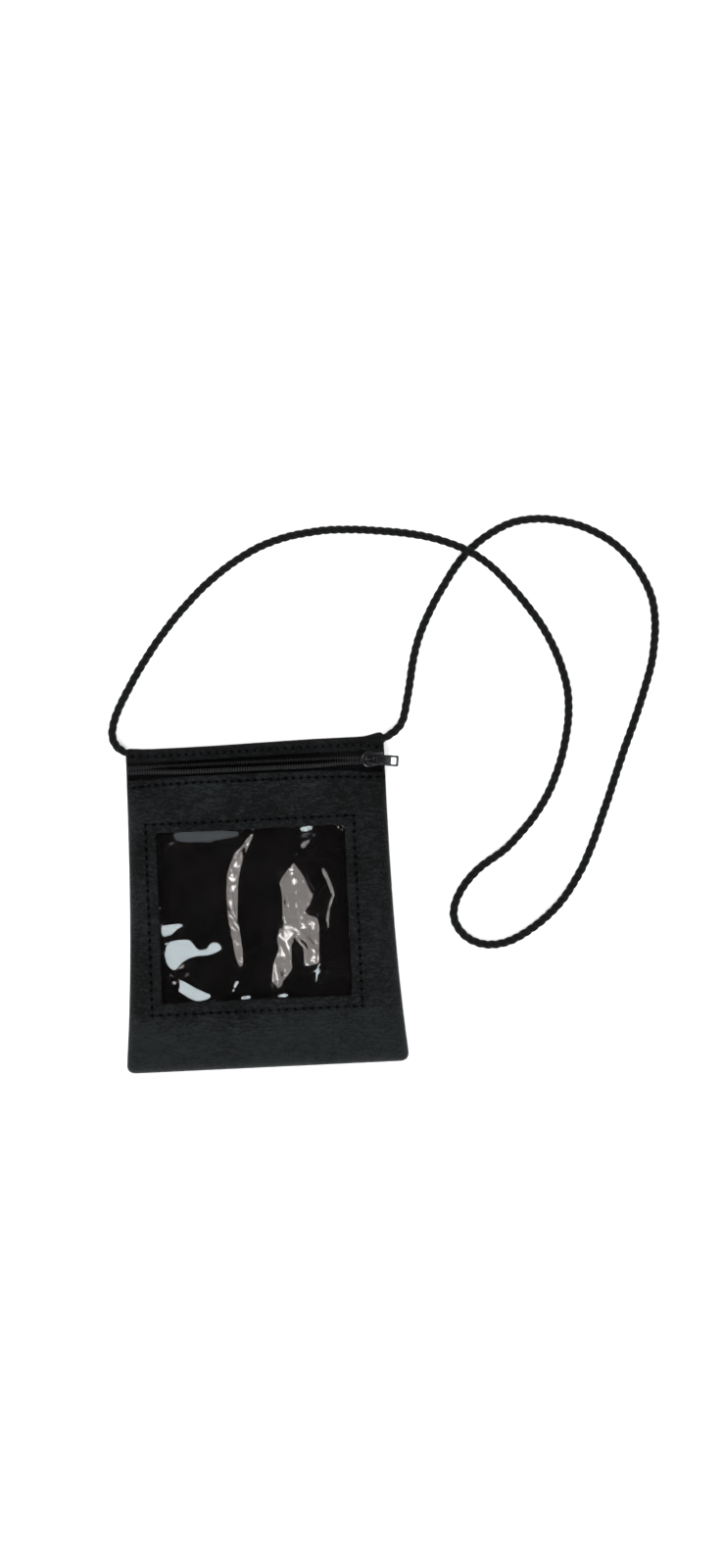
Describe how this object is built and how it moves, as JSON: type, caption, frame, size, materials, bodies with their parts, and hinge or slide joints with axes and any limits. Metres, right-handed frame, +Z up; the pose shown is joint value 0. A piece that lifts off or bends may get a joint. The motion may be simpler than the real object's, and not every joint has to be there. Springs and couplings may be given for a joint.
{
  "type": "neck pouch wallet",
  "caption": "Flat leather neck pouch with a clear window, an inset zip along its top edge and a twisted cord sewn into its top corners.",
  "frame": {"origin": "middle of the pouch's outline, on the flat underside that the pouch lies on", "axes": "+X along the zip towards the open slider, +Y from the bottom seam towards the zip, +Z up out of the window"},
  "size_m": [0.299, 0.289, 0.0129],
  "materials": {
    "leather_front": "soft black pebbled leather, low sheen",
    "leather_back": "soft black pebbled leather, low sheen",
    "leather_strip": "soft black pebbled leather, folded edge",
    "clear_vinyl": "clear flexible vinyl sheet, glossy, slightly wavy",
    "nylon_tape": "woven black zip tape",
    "nylon_coil": "black nylon zip coil",
    "black_enamel": "black enamel on die-cast metal",
    "worn_tab": "black enamel worn to bright metal along its edges",
    "twisted_cord": "black three-strand twisted cord, 4 mm",
    "black_thread": "black sewing thread"
  },
  "bodies": {
    "pouch": {"back_panel": "leather_back", "front_panel": "leather_front", "top_strip": "leather_strip", "window_sheet": "clear_vinyl", "zip_tape_rear": "nylon_tape", "zip_coil_rear": "nylon_coil", "neck_cord": "twisted_cord", "cord_anchor_left": "twisted_cord", "cord_anchor_right": "twisted_cord", "window_stitching": "black_thread", "zip_stitching_front": "black_thread", "zip_stitching_rear": "black_thread", "seam_thread_left": "black_thread", "seam_thread_right": "black_thread", "seam_thread_bottom": "black_thread", "seam_thread_top": "black_thread"},
    "front_lip": {"zip_tape_front": "nylon_tape", "zip_coil_front": "nylon_coil"},
    "slider": {"slider_body": "black_enamel"},
    "tab": {"pull_tab": "worn_tab"}
  },
  "joints": [
    {"name": "zip_slide", "type": "slide", "parent": "pouch", "child": "slider", "axis": [-1, 0, 0], "range_m": [0, 0.117]},
    {"name": "tab_swing", "type": "hinge", "parent": "slider", "child": "tab", "pos_m": [0.0604, 0.07305, 0.00595], "axis": [-0.1219, -0.9925, 0], "range_deg": [0, 155]},
    {"name": "lip_close", "type": "slide", "parent": "pouch", "child": "front_lip", "axis": [0, 0.2228, -0.9749], "range_m": [0, 0.00719], "deforming": ["zip_tape_front", "zip_coil_front"]}
  ],
  "couplings": [
    {"joint": "lip_close", "follows": "zip_slide", "ratio": 0.06137}
  ]
}
